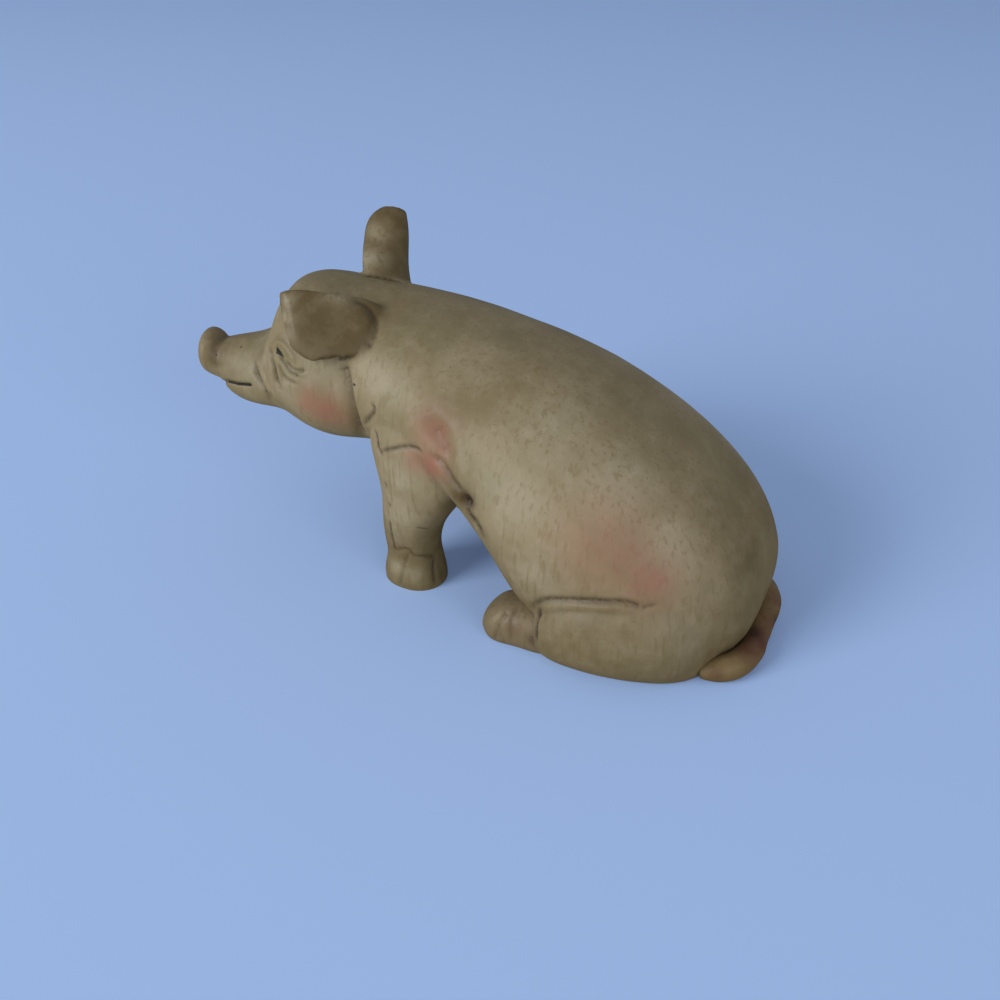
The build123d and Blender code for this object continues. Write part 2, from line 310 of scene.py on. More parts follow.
# Lines worked into the clay: pixels of the photograph, half width mm, depth mm
# (below zero it stands up) and the share of dark wash that settles in it.
HEAD_LINES = {
    "rim_groove": (((226, 334), (219, 341), (215.5, 352), (215, 363), (217, 371)), 1.1, 0.45, 0.2),
    "muzzle_fold": (((254, 365), (257, 376), (261, 384), (265, 391), (269, 400)), 1.1, 1.3, 0.75),
    "muzzle_ridge": (((257, 356), (261, 368), (266, 381), (273, 395)), 0.9, -0.55, 0),
    "cheek_fold": (((268.5, 350), (271.5, 360), (273.5, 368), (275, 377), (278.5, 387)), 0.95, 1.25, 0.8),
    "cheek_ridge": (((273, 352), (277, 366), (281, 379), (288, 392)), 0.8, -0.4, 0),
    "brow_ridge": (
        ((274, 352), (274.5, 346), (278, 342), (284, 345), (290, 353), (296, 362)), 0.7, -0.4, 0
    ),
    "eye_socket": (((277.5, 350), (280, 353.5), (283.5, 357.5)), 0.55, 0.4, 0.3),
    "lower_lid": (((279, 355), (281.5, 360), (284.5, 365), (290, 372.5), (299, 376.5)), 0.45, 0.5, 0.6),
    "eye_bag": (((286.5, 362), (291, 368), (298, 371), (305, 370)), 0.45, 0.45, 0.5),
    "eye_bag_roll": (((283, 361), (288, 368.5), (296, 373.5), (306, 374)), 0.4, -0.25, 0),
    "cheek_line": (((278, 364), (281, 371.5), (287, 379.5), (297, 384)), 0.5, 0.3, 0.3),
    "jowl_fold": (
        ((341, 361), (345.5, 375), (348.5, 391), (353, 409), (358.5, 426), (363, 437)), 1.5, 1.2, 0.2
    ),
    "jowl_roll": (((347, 366), (352.5, 388), (358.5, 411), (366, 432)), 1, -0.5, 0),
    "throat_line": (((372, 404), (374, 411), (369, 418), (365, 424)), 0.5, 0.4, 0.7),
}
# The mouth runs on round the chin from one corner to the other, in this many steps.
LIP_STEPS = 20
MOUTH_LINE = (((229, 381.6), (238, 383.8), (251.4, 384.8)), 0.45, 0.5, 0.5)
BODY_LINES = {
    "neck_seam": (((374.8, 431), (377.3, 441.5), (378.5, 449), (382, 454)), 0.45, 0.4, 0.9),
    "leg_seam": (((382, 451.5), (390.6, 449.4), (401.5, 447.3), (414.8, 447.8), (421, 451)), 0.5, 0.35, 0.7),
    "shoulder_valley": (((428, 415), (433, 427), (439, 438), (444, 449), (450, 463)), 2.2, 1.3, 0.1),
    "armpit_fold": (((430.6, 456), (439, 462), (446.4, 472), (453.6, 483), (463, 493)), 1, 0.7, 0.3),
    "belly_roll": (((456, 450), (462, 466), (470, 486)), 2, -0.6, 0),
    "leg_crack": (((389.8, 521), (390.9, 531), (393.4, 543), (394.7, 550.4)), 0.35, 0.25, 0.8),
    "leg_nick": (((385.5, 483), (386, 487)), 0.4, 0.3, 0.9),
    "leg_pore": (((389.4, 503.5), (390, 506.5)), 0.35, 0.25, 0.9),
    "leg_scratch": (((417.5, 527.6), (423, 528.6), (429.4, 528.7)), 0.25, 0.15, 0.7),
    "hoof_line": (
        ((394, 550.6), (402, 549.6), (408.8, 550.2), (413, 554.7), (424, 556.4), (436, 555.8)),
        0.5,
        0.35,
        0.35,
    ),
    "hoof_cleft": (((409, 554), (405.5, 562), (402, 575), (400, 586)), 0.5, 0.25, 0.15),
    "dewclaw_groove": (((435.5, 557), (434.5, 567), (435.5, 583)), 0.6, 0.5, 0.5),
    "shank_crease": (
        ((532, 608.6), (540, 602.5), (559.3, 600), (588, 601), (610.3, 602), (629.4, 603.5), (642, 608)),
        0.7,
        0.6,
        0.4,
    ),
    "shank_roll": (((541, 609), (560, 606), (590, 607), (612, 608), (632, 610)), 0.9, -0.35, 0),
    "haunch_end": (((640, 610), (648, 607), (657, 605.4)), 0.5, 0.3, 0.3),
    "foot_gap": (((541, 609), (536.5, 618), (535.2, 627), (534.6, 640)), 0.8, 0.7, 1),
    "belly_edge": (((464, 501), (468, 512), (476, 522), (482, 534)), 0.8, 0.3, 0.85),
}
# Pit behind the foreleg, darkened as painted shade: pixel, radius mm, depth mm, share of dark paint.
ARMPIT_PIT_AND_SHADE = ((466.5, 501.5), 1.5, 1.2, 1.3)
EAR_LINES = {
    "ear_lobe": (((352, 312), (360, 320), (362, 332), (356, 343)), 3, -0.9, 0),
    "ear_back": (
        ((352, 300), (364, 303.5), (372, 312), (375.5, 325), (373, 340), (366, 350)), 0.9, 0.55, 0.12
    ),
    # Groove under the near ear's lower edge, darkened as the painted shadow the ear casts on the cheek.
    "ear_under_shadow": (((318, 361.5), (328, 358.5), (340, 358), (350, 357)), 0.6, 0.35, 0.45),
    "far_ear_root": (((363, 274.5), (380, 277), (398, 281), (412, 284.5)), 0.6, 0.35, 0.8),
}
FOOT_LINES = {
    "hind_cleft": (((508, 611), (502.5, 619), (497.5, 629), (494.5, 640)), 0.5, 0.3, 0.15),
    "hind_hoof_edge": (((519, 606), (514, 615), (511, 628), (511, 642)), 0.5, 0.2, 0.3),
}

# Where colour sits on skin: pixel of the photograph, radius mm, strength.
SKIN_SPOTS = {
    "blush": (
        ((313, 404), 4, 0.9),
        ((324, 410), 4.2, 1),
        ((336, 417), 3.4, 0.8),
        ((435, 432), 4.4, 0.95),
        ((430, 444), 4, 0.6),
        ((443, 450), 3.2, 0.8),
        ((416, 460), 3.2, 0.7),
        ((430, 464), 3.4, 1.3),
        ((443, 472), 2.6, 0.8),
        ((606, 548), 9, 0.6),
        ((626, 560), 6, 0.75),
        ((648, 580), 5.5, 0.9),
        ((662, 592), 4, 0.5),
    ),
    "wash": (
        ((222, 350), 6, 0.7),
        ((252, 350), 6, 0.4),
        # Brown wash on the rump and haunch, partly painted shade where they turn away from the light.
        ((748, 560), 9, 0.65),
        ((724, 520), 12, 0.45),
        ((640, 560), 9, 0.3),
        # Painted shade in the hollow behind the near foreleg and along the belly's edge.
        ((460, 497), 3.4, 1),
        ((452, 484), 2.6, 0.6),
        ((448, 506), 3.4, 0.55),
        ((470, 516), 2, 0.6),
        ((484, 536), 2, 0.45),
        ((441, 575), 2.4, 0.7),
        ((421, 574), 2.6, 0.45),
        ((290, 300), 5, 0.35),
        ((560, 375), 14, 0.2),
        ((396, 338), 4.5, 0.3),
        ((455, 402), 5, 0.35),
    ),
    # Worn paint, and painted light on lit spots of the forelegs and ears.
    "worn": (
        ((252, 366), 4.5, 0.7),
        ((288, 392), 4, 0.7),
        ((266, 352), 3.5, 0.7),
        ((318, 372), 4, 0.6),
        ((235, 362), 4, 0.5),
        ((620, 480), 8, 0.9),
        ((668, 540), 6, 0.8),
        ((515, 505), 7, 0.7),
        ((535, 575), 6, 0.8),
        ((560, 430), 9, 0.6),
        # Painted light on the lit front of the near foreleg, over worn paint.
        ((400, 515), 6.5, 1),
        ((400, 478), 5.5, 0.9),
        ((470, 360), 7, 0.4),
        ((380, 380), 5, 0.6),
        ((340, 385), 4, 0.6),
        ((688, 640), 7, 0.7),
        ((396, 568), 2.6, 0.9),
        ((414, 575), 2.2, 0.5),
        # Painted highlight on the lit front rim of the near ear.
        ((285, 318), 2.1, 1),
        ((286, 302), 1.8, 0.9),
        ((288, 333), 1.8, 0.8),
        # Painted highlight on the lit left half of the far ear.
        ((371, 258), 3.6, 1),
        ((376, 232), 3, 0.8),
    ),
}
# The same on the hind foot and the tail, with the layer first.
FOOT_SPOTS = (
    ("worn", (498, 622), 2, 0.9),
    ("worn", (527, 618), 3, 0.6),
    ("blush", (514, 628), 2.2, 0.4),
    ("crease", (535, 640), 1.5, 0.8),
)
TAIL_SPOTS = (
    ("blush", (777, 598), 2.4, 0.7),
    ("blush", (772, 622), 3, 0.8),
    ("blush", (762, 640), 3.6, 1.3),
    ("blush", (748, 648), 3, 0.9),
    ("blush", (716, 674), 1.4, 0.5),
    ("crease", (781, 607), 1.5, 0.8),
    ("crease", (776, 621), 1.5, 0.9),
    ("crease", (755, 633), 1.6, 0.9),
    ("crease", (746, 641), 1.6, 0.6),
    ("worn", (732, 670), 2.6, 0.5),
)
# Brown stain with painted shade in the hollow behind the near ear: pixels, half width mm.
EAR_STAIN_AND_SHADE = (((356, 306), (364, 312), (367, 325), (362, 341)), 2)

# Painted marks of the head: two pixels, half width mm, paint.
HEAD_STROKES = (
    ((277.6, 348.8), (277.2, 352.4), 0.22, "black"),
    ((278, 349.2), (281.4, 354.6), 0.26, "black"),
    ((277.4, 352.6), (283.2, 356.9), 0.18, "black"),
    ((229, 381.6), (238, 383.8), 0.2, "black"),
    ((238, 383.8), (251.4, 384.8), 0.26, "black"),
    ((216.4, 354.8), (216.6, 355.4), 0.12, "dirt"),
    ((241, 346.8), (241.4, 347.2), 0.11, "dirt"),
    ((353.6, 384.2), (354.8, 385.2), 0.16, "dirt"),
)


def linear(red, green, blue):
    """Scene colour of a paint that shows as these 0 to 255 screen values."""
    shares = [value / 255 for value in (red, green, blue)]
    return tuple(s / 12.92 if s < 0.04045 else ((s + 0.055) / 1.055) ** 2.4 for s in shares)


class PigSizes(bpy.types.PropertyGroup):
    skin_grain: bpy.props.FloatProperty(
        name="Skin grain", description="Edge of one facet of the skin", default=0.3 * MM, unit="LENGTH"
    )
    light_reach: bpy.props.FloatProperty(
        name="Light reach", description="Distance of the lamps", default=2.0, unit="LENGTH"
    )


def paint_choice(label, description, *screen):
    """Colour setting whose default shows as these screen values."""
    return bpy.props.FloatVectorProperty(
        name=label, description=description, subtype="COLOR", default=linear(*screen)
    )


class PigPaints(bpy.types.PropertyGroup):
    cream: paint_choice("Cream", "Main paint", 151, 137, 108)
    shade: paint_choice("Shade", "Darker patches of the main paint", 131, 117, 84)
    # Chalk also paints the light on lit spots of the forelegs and ears.
    chalk: paint_choice("Chalk", "Worn pale patches of the main paint", 170, 160, 137)
    moss: paint_choice("Moss", "Greenish patches of the main paint", 131, 125, 95)
    blush: paint_choice("Blush", "Red on cheeks, shoulders and haunches", 158, 111, 93)
    # This brown also paints the shade on upward skin, low down, on the rump, behind the forelegs and behind
    # the near ear.
    ear: paint_choice("Ear", "Brown wash of the ears and snout", 94, 79, 49)
    hoof: paint_choice("Hoof", "Main paint of the hind feet", 126, 112, 86)
    tail: paint_choice("Tail", "Main paint of the tail", 122, 102, 68)
    rust: paint_choice("Rust", "Red-brown on the tail and the hind feet", 92, 54, 43)
    # Dirt also paints the shade in the pit behind each foreleg and the shadow under the near ear.
    dirt: paint_choice("Dirt", "Dark wash that settles in the creases", 52, 37, 26)
    black: paint_choice("Black", "Eyes and mouth", 22, 20, 19)
    floor: paint_choice("Floor", "Plain pale floor", 178, 206, 250)
    bounce: paint_choice("Bounce", "Light that the floor throws back on the pig", 172, 172, 166)


def natural_spline(knots, values, at):
    """Natural cubic spline through the rows of values."""
    n = len(knots)
    h = np.diff(knots)
    a = np.zeros((n, n))
    b = np.zeros((n, values.shape[1]))
    a[0, 0] = a[-1, -1] = 1
    for i in range(1, n - 1):
        a[i, i - 1 : i + 2] = h[i - 1], 2 * (h[i - 1] + h[i]), h[i]
        b[i] = 6 * ((values[i + 1] - values[i]) / h[i] - (values[i] - values[i - 1]) / h[i - 1])
    m = np.linalg.solve(a, b)
    i = np.clip(np.searchsorted(knots, at, side="right") - 1, 0, n - 2)
    t = (at - knots[i])[:, None]
    step = h[i][:, None]
    slope = (values[i + 1] - values[i]) / step - step * (2 * m[i] + m[i + 1]) / 6
    return values[i] + slope * t + m[i] * t**2 / 2 + (m[i + 1] - m[i]) * t**3 / (6 * step)


def dense_rows(rows, steps, pace=4):
    """More rows on a smooth curve through the given ones, spaced by their first columns."""
    rows = np.array(rows, float)
    gaps = np.linalg.norm(np.diff(rows[:, :pace], axis=0), axis=1)
    knots = np.concatenate([[0], np.cumsum(np.maximum(gaps, LEAST_STEP))])
    return natural_spline(knots, rows, np.linspace(0, knots[-1], steps))


def upright_rings(rows, side, roundness, around, pear=0.0):
    """Rings between two points in the YZ plane, from rows of y, z, y, z and half width.

    Roundness 2 is an ellipse and more is squarer; a pear is wider at its second point.
    """
    angle = np.linspace(0, 2 * np.pi, around, endpoint=False)
    power = np.reshape(2 / np.asarray(roundness), (-1, 1))
    across, up = (np.sign(wave) * np.abs(wave) ** power for wave in (np.cos(angle), np.sin(angle)))
    top, bottom, width = rows[:, 0:2], rows[:, 2:4], rows[:, 4:5]
    middle, rise = (top + bottom) / 2, (top - bottom) / 2
    x = side + width * across * (1 - np.reshape(pear, (-1, 1)) * up)
    y = middle[:, 0:1] + rise[:, 0:1] * up
    z = middle[:, 1:2] + rise[:, 1:2] * up
    return np.stack([x, y, z], -1)


def head_angle(y):
    """How far the head is turned at each y."""
    share = np.clip((y - HEAD_TURN_STARTS) / (HEAD_TURN_ENDS - HEAD_TURN_STARTS), 0, 1)
    return math.radians(HEAD_TURN) * share**2 * (3 - 2 * share)


def turned(points, angle):
    """Points turned to the pig's left about the head's pivot."""
    x, y, z = np.moveaxis(points, -1, 0)
    y = y - HEAD_PIVOT
    across = x * np.cos(angle) - y * np.sin(angle)
    return np.stack([across, HEAD_PIVOT + x * np.sin(angle) + y * np.cos(angle), z], -1)


def body_rings():
    """Rings of the trunk and head, rump first."""
    rows = dense_rows(BODY_SECTIONS, BODY_RINGS[0])
    rings = upright_rings(rows, 0, rows[:, 5], BODY_RINGS[1], rows[:, 6])
    return turned(rings, head_angle(rings[:, :, 1].mean(1))[:, None])


def shank_rings():
    """Rings of the left hind shank, front first."""
    rows = dense_rows(SHANK_SECTIONS, SHANK_RINGS[0])
    upright = np.stack([rows[:, 0], rows[:, 1], rows[:, 0], rows[:, 2], rows[:, 3]], 1)
    return upright_rings(upright, rows[:, 4:5], SHANK_ROUNDNESS, SHANK_RINGS[1])


def foreleg_rings():
    """Rings of the left foreleg, shoulder first."""
    rows = dense_rows(FORELEG_SECTIONS, FORELEG_RINGS[0])
    return upright_rings(rows, FORELEG_SIDE, FORELEG_ROUNDNESS, FORELEG_RINGS[1])


def foot_rings():
    """Rings of the left hind foot, heel first."""
    rows = dense_rows(FOOT_SECTIONS, FOOT_RINGS[0])
    return upright_rings(rows, FOOT_SIDE, FOOT_ROUNDNESS, FOOT_RINGS[1])


def ear_rings(sections):
    """Rings of a cambered blade with a blunt rim."""
    rows = dense_rows([(*m, *w, c, t) for m, w, c, t in sections], EAR_RINGS[0], 3)[:, None]
    angle = np.linspace(0, 2 * np.pi, EAR_RINGS[1], endpoint=False)[None, :, None]
    across, up = np.cos(angle), np.sin(angle)
    blunt = EAR_RIM_BLUNTNESS
    depth = np.sign(up) * (blunt * np.abs(up) ** blunt + (1 - blunt) * np.abs(up))
    camber, thickness = rows[..., 6:7], rows[..., 7:8]
    bend = np.array(EAR_CAMBER_WAY) * (camber * (1 - across**2) + thickness * depth / 2)
    return rows[..., 0:3] + rows[..., 3:6] * across + bend


def tail_rings():
    """Rings of a round bar along a smooth path."""
    rows = dense_rows([(*m, r) for m, r in TAIL_SECTIONS], TAIL_RINGS[0], 3)
    path, radius = rows[:, :3], rows[:, 3:4]
    tangent = unit(np.gradient(path, axis=0))
    level = unit(np.cross(tangent, [0.0, 0.0, 1.0]))
    upward = np.cross(level, tangent)
    angle = np.linspace(0, 2 * np.pi, TAIL_RINGS[1], endpoint=False)[None, :, None]
    around = level[:, None] * np.cos(angle) + upward[:, None] * np.sin(angle)
    return path[:, None] + radius[:, None] * around


def unit(vectors):
    """Vectors of length one."""
    return vectors / np.maximum(np.linalg.norm(vectors, axis=1, keepdims=True), 1e-9)


def add_object(name, data):
    """New object in the scene."""
    made = bpy.data.objects.new(name, data)
    bpy.context.scene.collection.objects.link(made)
    return made


def mirrored(points):
    """The same points on the other side of the middle plane."""
    return points * OTHER_SIDE


def ring_mesh(rings):
    """Vertices and faces of a closed tube of rings with a point at each end."""
    n, m = rings.shape[:2]
    verts = np.concatenate([rings.reshape(-1, 3), rings[:1].mean(1), rings[-1:].mean(1)])
    i, j = np.meshgrid(np.arange(n - 1), np.arange(m), indexing="ij")
    k = (j + 1) % m
    quads = np.stack([i * m + j, i * m + k, (i + 1) * m + k, (i + 1) * m + j], -1).reshape(-1, 4)
    j = np.arange(m)
    k = (j + 1) % m
    start = np.stack([k, j, np.full(m, n * m)], -1)
    end = np.stack([(n - 1) * m + j, (n - 1) * m + k, np.full(m, n * m + 1)], -1)
    return verts, quads.tolist() + start.tolist() + end.tolist()


def surface_tree(rings):
    """Search tree of a ring mesh in millimetres."""
    verts, faces = ring_mesh(rings)
    return BVHTree.FromPolygons(verts.tolist(), faces)


def read_array(items, key, width, kind=float):
    """One property of all mesh items, a row for each."""
    values = np.empty(len(items) * width, kind)
    items.foreach_get(key, values)
    return values.reshape(-1, width)


def within(verts, points, reach):
    """Numbers of the points that lie in the box round some others, widened by a reach."""
    low, high = points.min(0) - reach, points.max(0) + reach
    return np.flatnonzero(((verts > low) & (verts < high)).all(1))


class Clay:
    """One skin of triangles in millimetres, carved and painted point by point."""

    def __init__(self, shapes, smooth_steps):
        """Merge ring meshes into one even skin."""
        verts, faces, start = [], [], 0
        for rings in shapes:
            part_verts, part_faces = ring_mesh(rings)
            verts.append(part_verts)
            faces += [[start + v for v in face] for face in part_faces]
            start += len(part_verts)
        mesh = bpy.data.meshes.new("clay")
        mesh.from_pydata(np.concatenate(verts).tolist(), [], faces)
        lump = add_object("clay", mesh)
        mesh.remesh_voxel_size = bpy.context.scene.pig_sizes.skin_grain / MM
        mesh.remesh_voxel_adaptivity = 0.0
        with bpy.context.temp_override(active_object=lump, object=lump, selected_objects=[lump]):
            bpy.ops.object.voxel_remesh()
        mesh = lump.data
        self.verts = read_array(mesh.vertices, "co", 3)
        self.edges = read_array(mesh.edges, "vertices", 2, np.int32)
        mesh.calc_loop_triangles()
        self.tris = read_array(mesh.loop_triangles, "vertices", 3, np.int32)
        bpy.data.objects.remove(lump)
        bpy.data.meshes.remove(mesh)
        self.relax(smooth_steps)
        self.layers = {name: np.zeros(len(self.verts)) for name in LAYERS}

    def neighbours_mean(self, values):
        """Mean of each point's neighbours along the edges."""
        a, b = self.edges.T
        count = len(self.verts)
        total = [np.bincount(a, v[b], count) + np.bincount(b, v[a], count) for v in values.T]
        number = np.bincount(self.edges.ravel(), minlength=count)
        return np.stack(total, 1) / np.maximum(number, 1)[:, None]

    def relax(self, steps, weight=1.0):
        """Smooth the skin, more where the weight is higher."""
        weight = np.broadcast_to(weight, len(self.verts))[:, None] / 2
        for _ in range(steps):
            self.verts += weight * (self.neighbours_mean(self.verts) - self.verts)
        self.refresh()

    def refresh(self):
        """Work out the normals again."""
        a, b, c = (self.verts[corner] for corner in self.tris.T)
        face = np.cross(b - a, c - a)
        total = np.zeros((len(self.verts), 3))
        for corner in self.tris.T:
            for axis in range(3):
                total[:, axis] += np.bincount(corner, face[:, axis], len(total))
        self.normals = unit(total)
        self.tree = None

    def search_tree(self):
        """Search tree of the skin as it was when the tree was first asked for."""
        if self.tree is None:
            self.tree = BVHTree.FromPolygons(self.verts.tolist(), self.tris.tolist())
        return self.tree

    def trace(self, pixel):
        """Point of the skin that the photograph shows at a pixel, or the nearest one beside it."""
        tree = self.search_tree()
        eye = Vector(CAMERA_PLACE_MM)
        way = pixel_way(pixel)
        hit = tree.ray_cast(eye, way)[0]
        if hit is None:
            found = [tree.find_nearest(eye + way * reach) for reach in range(*TRACE_REACH_MM)]
            hit = min(found, key=lambda near: near[3])[0]
        return np.array(hit)

    def trace_path(self, pixels):
        """Points on the skin under a smooth line through pixels of the photograph."""
        pixels = np.array(pixels, float)
        knots = np.concatenate([[0], np.cumsum(np.linalg.norm(np.diff(pixels, axis=0), axis=1))])
        steps = max(TRACE_LEAST_STEPS, int(knots[-1] / TRACE_STEP_PX))
        line = natural_spline(knots, pixels, np.linspace(0, knots[-1], steps))
        return np.array([self.trace(pixel) for pixel in line])

    def snapped(self, points):
        """The nearest spots of the skin."""
        tree = self.search_tree()
        return np.array([tree.find_nearest(point)[0] for point in points])

    def hollowness(self):
        """How far each point lies under the mean of its neighbours, smoothed."""
        offset = ((self.neighbours_mean(self.verts) - self.verts) * self.normals).sum(1, keepdims=True)
        return self.neighbours_mean(self.neighbours_mean(offset))[:, 0]

    def soften_joins(self):
        """Blend the sharp valleys where shapes meet, as a modeller's thumb does."""
        for _ in range(JOIN_ROUNDS):
            weight = np.clip(self.hollowness() * JOIN_SHARPNESS, 0, 1)[:, None]
            for _ in range(JOIN_STEPS):
                weight = np.maximum(weight, self.neighbours_mean(weight))
            self.relax(JOIN_STEPS, weight[:, 0])

    def knead(self, size, amount):
        """Uneven the skin slightly, as hands leave it."""
        bumps = np.array([noise.noise(Vector(point) / size) for point in self.verts])
        self.verts += self.normals * (amount * bumps)[:, None]
        self.refresh()

    def along(self, path, reach):
        """The points within reach of a path, their distance from it and their share along it."""
        near = within(self.verts, path, reach)
        points = self.verts[near]
        best, share = np.full(len(near), np.inf), np.zeros(len(near))
        for index, (a, b) in enumerate(zip(path[:-1], path[1:])):
            run = b - a
            t = np.clip((points - a) @ run / max(run @ run, 1e-9), 0, 1)
            distance = np.linalg.norm(points - a - t[:, None] * run, axis=1)
            closer = distance < best
            best[closer] = distance[closer]
            share[closer] = (index + t[closer]) / (len(path) - 1)
        return near, best, share

    def work_line(self, path, half_width, depth, dark):
        """Press a line in, or raise it, fading out at its ends, and let wash settle in it."""
        near, distance, share = self.along(path, half_width * LINE_REACH)
        length = np.linalg.norm(np.diff(path, axis=0), axis=1).sum()
        fade = np.clip(np.minimum(share, 1 - share) * length / (LINE_FADE * half_width), 0, 1)
        weight = np.exp(-((distance / half_width) ** 2)) * (END_DEPTH + (1 - END_DEPTH) * fade)
        self.verts[near] -= self.normals[near] * (depth * weight)[:, None]
        wash = np.exp(-((distance / (half_width * WASH_WIDTH)) ** 2)) * (END_WASH + (1 - END_WASH) * fade)
        self.stain("crease", dark * wash, near)

    def dimple(self, centre, radius, depth, dark):
        """Press a round pit with dark wash in it."""
        weight = np.exp(-((np.linalg.norm(self.verts - centre, axis=1) / radius) ** 2))
        self.verts -= self.normals * (depth * weight)[:, None]
        self.stain("crease", dark * weight)

    def dab(self, layer, centre, radius, strength):
        """Colour a soft round spot of a paint layer."""
        self.stain(layer, strength * np.exp(-(((self.verts - centre) / radius) ** 2).sum(1)))

    def stain(self, layer, amount, near=slice(None)):
        """Raise a paint layer to an amount at the points near by."""
        self.layers[layer][near] = np.maximum(self.layers[layer][near], amount)

    def shape(self, **fields):
        """Points, triangles and, for each point, the paint layers, fields and normal."""
        layers = {name: value[:, None] for name, value in (self.layers | fields).items()}
        return self.verts, self.tris, layers | {"normal": self.normals}


def other_cheek(points):
    """Points mirrored about the turned middle plane of the head."""
    angle = head_angle(points[:, 1])
    return turned(mirrored(turned(points, -angle)), angle)


def pixel_way(pixel):
    """Direction from the camera through a pixel of the photograph."""
    turn, dip = math.radians(CAMERA_TURN), math.radians(CAMERA_DIP)
    flat = Vector((-math.sin(turn), math.cos(turn), 0))
    right = Vector((math.cos(turn), math.sin(turn), 0))
    ahead = flat * math.cos(dip) - Vector((0, 0, math.sin(dip)))
    up = right.cross(ahead)
    across, down = (value - PICTURE_SIDE_PX / 2 for value in pixel)
    return (ahead * PICTURE_SIDE_PX + right * across - up * down).normalized()


def nearest_distance(tree, points, reach):
    """Distance of each point to a surface, positive outside; reach where none is that near."""
    out = np.full(len(points), float(reach))
    for index, point in enumerate(points):
        spot, normal, _, distance = tree.find_nearest(point, reach)
        if spot is not None:
            outside = (Vector(point) - spot).dot(normal) > 0
            out[index] = distance if outside else -distance
    return out


def cut(shape, field):
    """Two closed shapes, where the field is positive and where it is negative."""
    verts, tris, layers = shape
    field = np.where(np.abs(field) < LEAST_FIELD, LEAST_FIELD, field)
    above = field > 0
    count = above[tris].sum(1)
    crossing = tris[(count == 1) | (count == 2)]
    lone_above = above[crossing].sum(1) == 1
    lone = above[crossing] == lone_above[:, None]
    first = lone.argmax(1)
    order = (first[:, None] + np.arange(3)) % 3
    a, b, c = np.take_along_axis(crossing, order, 1).T
    pairs = np.sort(np.concatenate([np.stack([a, b], 1), np.stack([c, a], 1)]), 1)
    ends, place = np.unique(pairs, axis=0, return_inverse=True)
    place = place.ravel()
    share = field[ends[:, 0]] / (field[ends[:, 0]] - field[ends[:, 1]])

    def extended(values):
        """Values with those of the points on the cut and of the middle of the cut."""
        first, second = values[ends[:, 0]], values[ends[:, 1]]
        new = first + (second - first) * share[:, None]
        return np.concatenate([values, new, new.mean(0, keepdims=True)])

    verts = extended(verts)
    layers = {name: extended(value) for name, value in layers.items()}
    start = len(field)
    p, q = start + place[: len(a)], start + place[len(a) :]
    middle = np.full(len(a), len(verts) - 1)
    tip = np.stack([a, p, q], 1)
    rest = np.concatenate([np.stack([p, b, c], 1), np.stack([p, c, q], 1)])
    lid_tip, lid_rest = np.stack([q, p, middle], 1), np.stack([p, q, middle], 1)
    double = np.concatenate([lone_above, lone_above])
    upper = [tris[count == 3], tip[lone_above], lid_tip[lone_above], rest[~double], lid_rest[~lone_above]]
    lower = [tris[count == 0], tip[~lone_above], lid_tip[~lone_above], rest[double], lid_rest[lone_above]]
    return [compact(verts, np.concatenate(part), layers) for part in (upper, lower)]


def compact(verts, tris, layers):
    """Drop the points that no triangle uses."""
    used, place = np.unique(tris, return_inverse=True)
    return verts[used], place.reshape(-1, 3), {name: value[used] for name, value in layers.items()}


def make_object(name, shape):
    """Mesh object of a shape in millimetres, with its paint layers."""
    verts, tris, layers = shape
    mesh = bpy.data.meshes.new(name)
    mesh.vertices.add(len(verts))
    mesh.vertices.foreach_set("co", (verts * MM).ravel())
    mesh.loops.add(tris.size)
    mesh.loops.foreach_set("vertex_index", tris.ravel())
    mesh.polygons.add(len(tris))
    mesh.polygons.foreach_set("loop_start", np.arange(0, tris.size, 3))
    mesh.update()
    mesh.validate()
    mesh.shade_smooth()
    for layer in LAYERS:
        mesh.attributes.new(layer, "FLOAT", "POINT").data.foreach_set("value", layers[layer].ravel())
    mesh.normals_split_custom_set_from_vertices(layers["normal"].tolist())
    return add_object(name, mesh)


def leg_field(verts, side):
    """Positive on one foreleg below its seam with the trunk."""
    rows = dense_rows(FORELEG_SECTIONS, FORELEG_RINGS[0])[::-1]
    height = (rows[:, 1] + rows[:, 3]) / 2
    x, y, z = verts.T
    front, back, width = (np.interp(z, height, rows[:, column]) for column in (0, 2, 4))
    across = np.abs(x - side * FORELEG_SIDE) / width
    along = np.abs(y - (front + back) / 2) / ((back - front) / 2)
    spread = (across**FORELEG_ROUNDNESS + along**FORELEG_ROUNDNESS) ** (1 / FORELEG_ROUNDNESS)
    return np.minimum(np.interp(y, LEG_SEAM_Y, LEG_SEAM_Z) - z, (LEG_ROOM - spread) * LEG_SCALE)


# The castings cut from the clay and the strokes of the head, made by the first operator.
CLAY = {}


def work_head(clay):
    """Folds, eyes, mouth and nostrils of the head."""
    for pixels, *line in HEAD_LINES.values():
        path = clay.trace_path(pixels)
        clay.work_line(path, *line)
        clay.work_line(clay.snapped(other_cheek(path)), *line)
    pixels, *line = MOUTH_LINE
    corner = clay.trace_path(pixels)
    other = other_cheek(corner)
    lip = np.linspace(corner[0], other[0], LIP_STEPS)[1:-1]
    clay.work_line(clay.snapped(np.concatenate([corner[::-1], lip, other])), *line)
    for side in SIDES:
        middle = np.array([[side * NOSTRIL_SIDE, BODY_SECTIONS[-1][0], NOSTRIL_HEIGHT]])
        clay.dimple(turned(middle, math.radians(HEAD_TURN))[0], NOSTRIL_RADIUS, NOSTRIL_DEPTH, 1.0)


